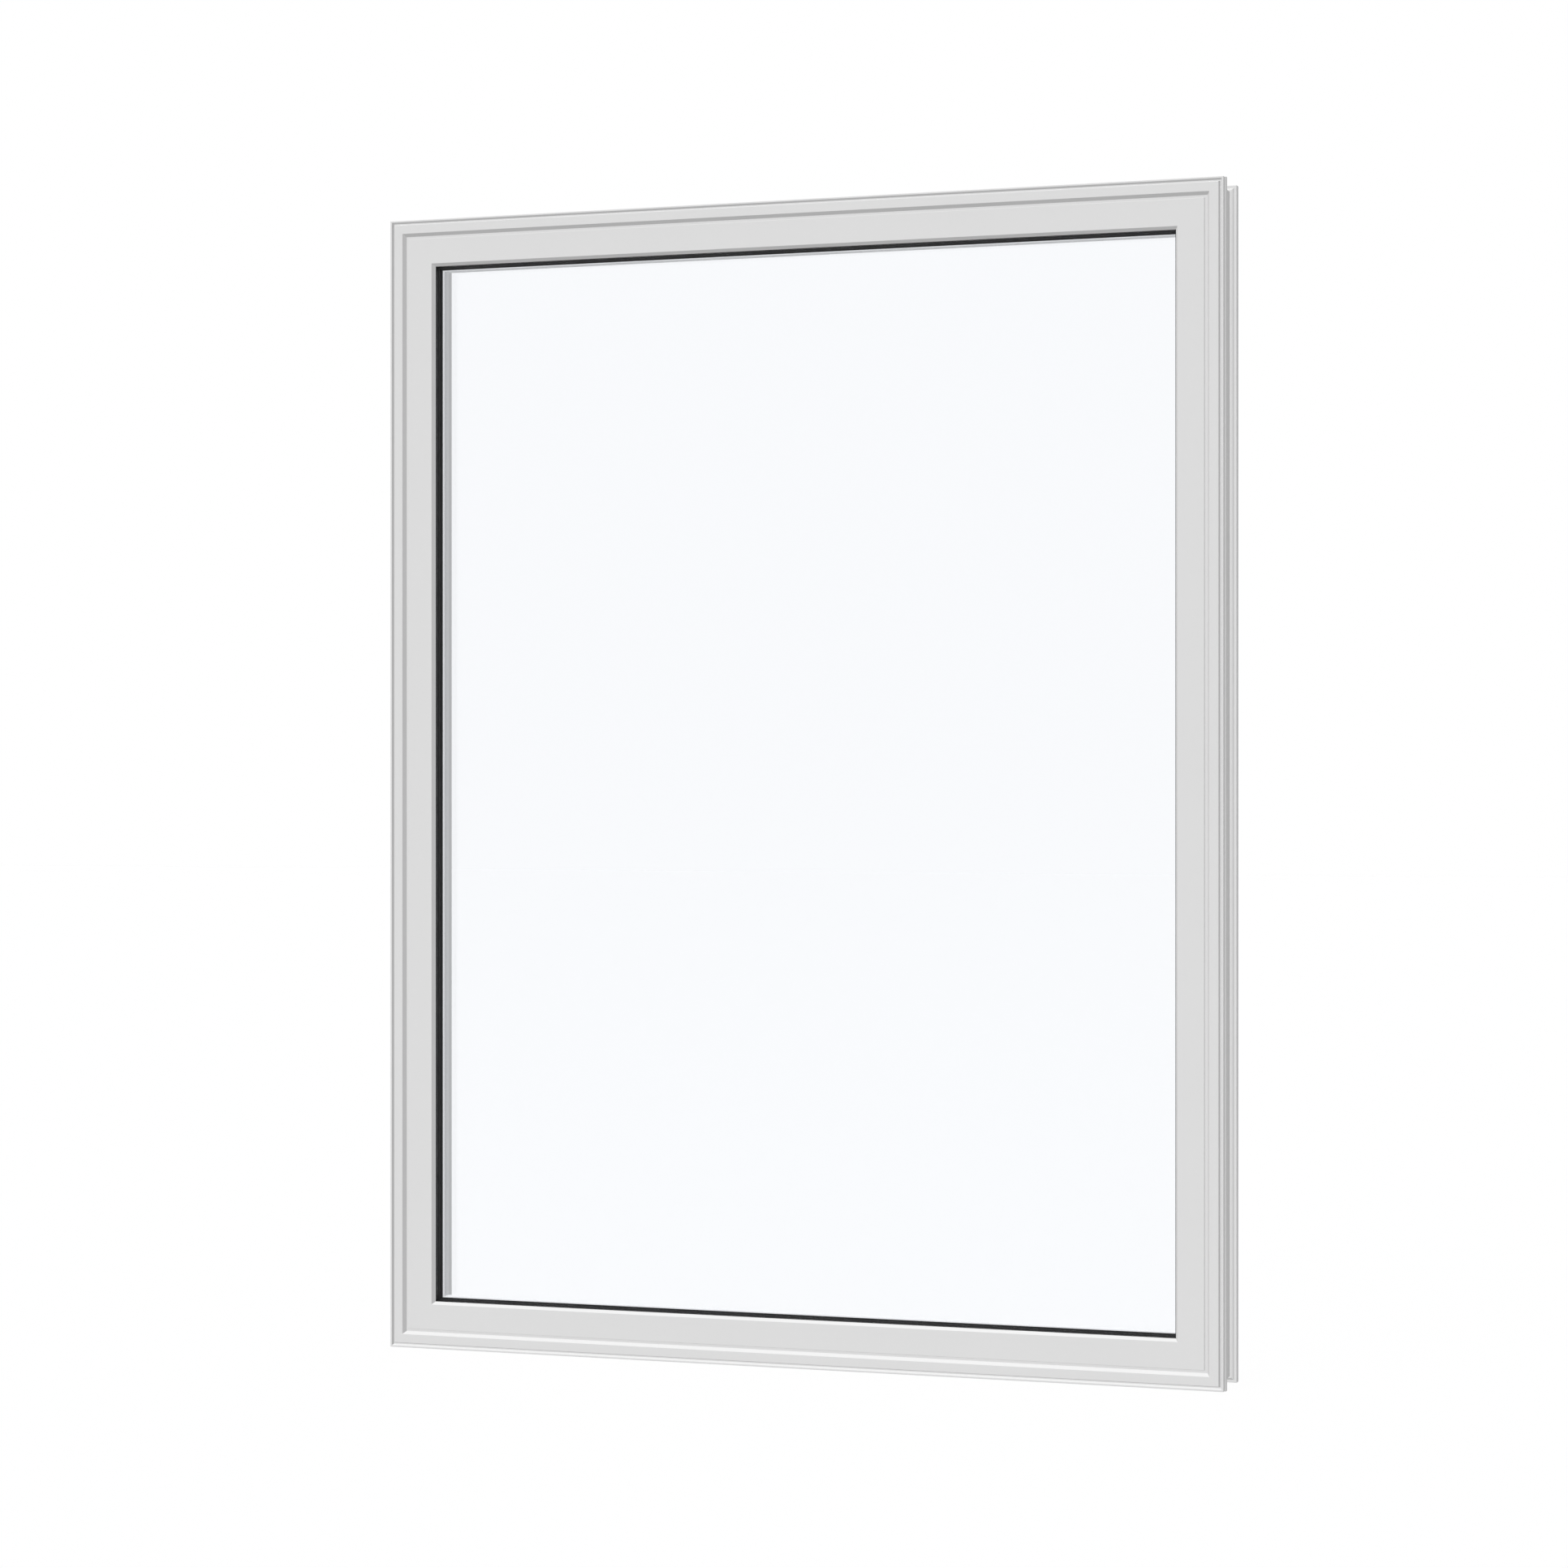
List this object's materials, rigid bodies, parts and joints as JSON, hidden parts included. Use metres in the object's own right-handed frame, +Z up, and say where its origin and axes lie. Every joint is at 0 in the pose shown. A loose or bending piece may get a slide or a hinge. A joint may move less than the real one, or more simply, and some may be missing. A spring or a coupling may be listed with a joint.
{
  "type": "fixed picture window",
  "caption": "Fixed picture window: mitred white vinyl frame and fixed sash around a sealed double-glazed unit with dark gaskets, set into a wall opening.",
  "frame": {"origin": "underside of the sill, midway across the width and the depth", "axes": "+Z up, exterior face towards -Y, +X to the right seen from outside"},
  "size_m": [0.9144, 0.073, 1.2192],
  "materials": {
    "white_vinyl": "smooth satin extruded vinyl",
    "black_gasket": "matt black glazing rubber",
    "clear_glass": "clear float glass",
    "grey_spacer": "pale satin coat",
    "dark_edge_seal": "matt sealant",
    "block_rubber": "matt moulded rubber"
  },
  "bodies": {
    "root": {"frame_head": "white_vinyl", "frame_sill": "white_vinyl", "frame_left_jamb": "white_vinyl", "frame_right_jamb": "white_vinyl", "sash_top_rail": "white_vinyl", "sash_bottom_rail": "white_vinyl", "sash_left_stile": "white_vinyl", "sash_right_stile": "white_vinyl", "glazing_bead_top": "white_vinyl", "glazing_bead_bottom": "white_vinyl", "glazing_bead_left": "white_vinyl", "glazing_bead_right": "white_vinyl", "outer_gasket_top": "black_gasket", "outer_gasket_bottom": "black_gasket", "outer_gasket_left": "black_gasket", "outer_gasket_right": "black_gasket", "inner_gasket_top": "black_gasket", "inner_gasket_bottom": "black_gasket", "inner_gasket_left": "black_gasket", "inner_gasket_right": "black_gasket", "outer_pane": "clear_glass", "inner_pane": "clear_glass", "spacer_top": "grey_spacer", "spacer_bottom": "grey_spacer", "spacer_left": "grey_spacer", "spacer_right": "grey_spacer", "edge_seal_top": "dark_edge_seal", "edge_seal_bottom": "dark_edge_seal", "edge_seal_left": "dark_edge_seal", "edge_seal_right": "dark_edge_seal", "left_setting_block": "block_rubber", "right_setting_block": "block_rubber"}
  },
  "joints": []
}
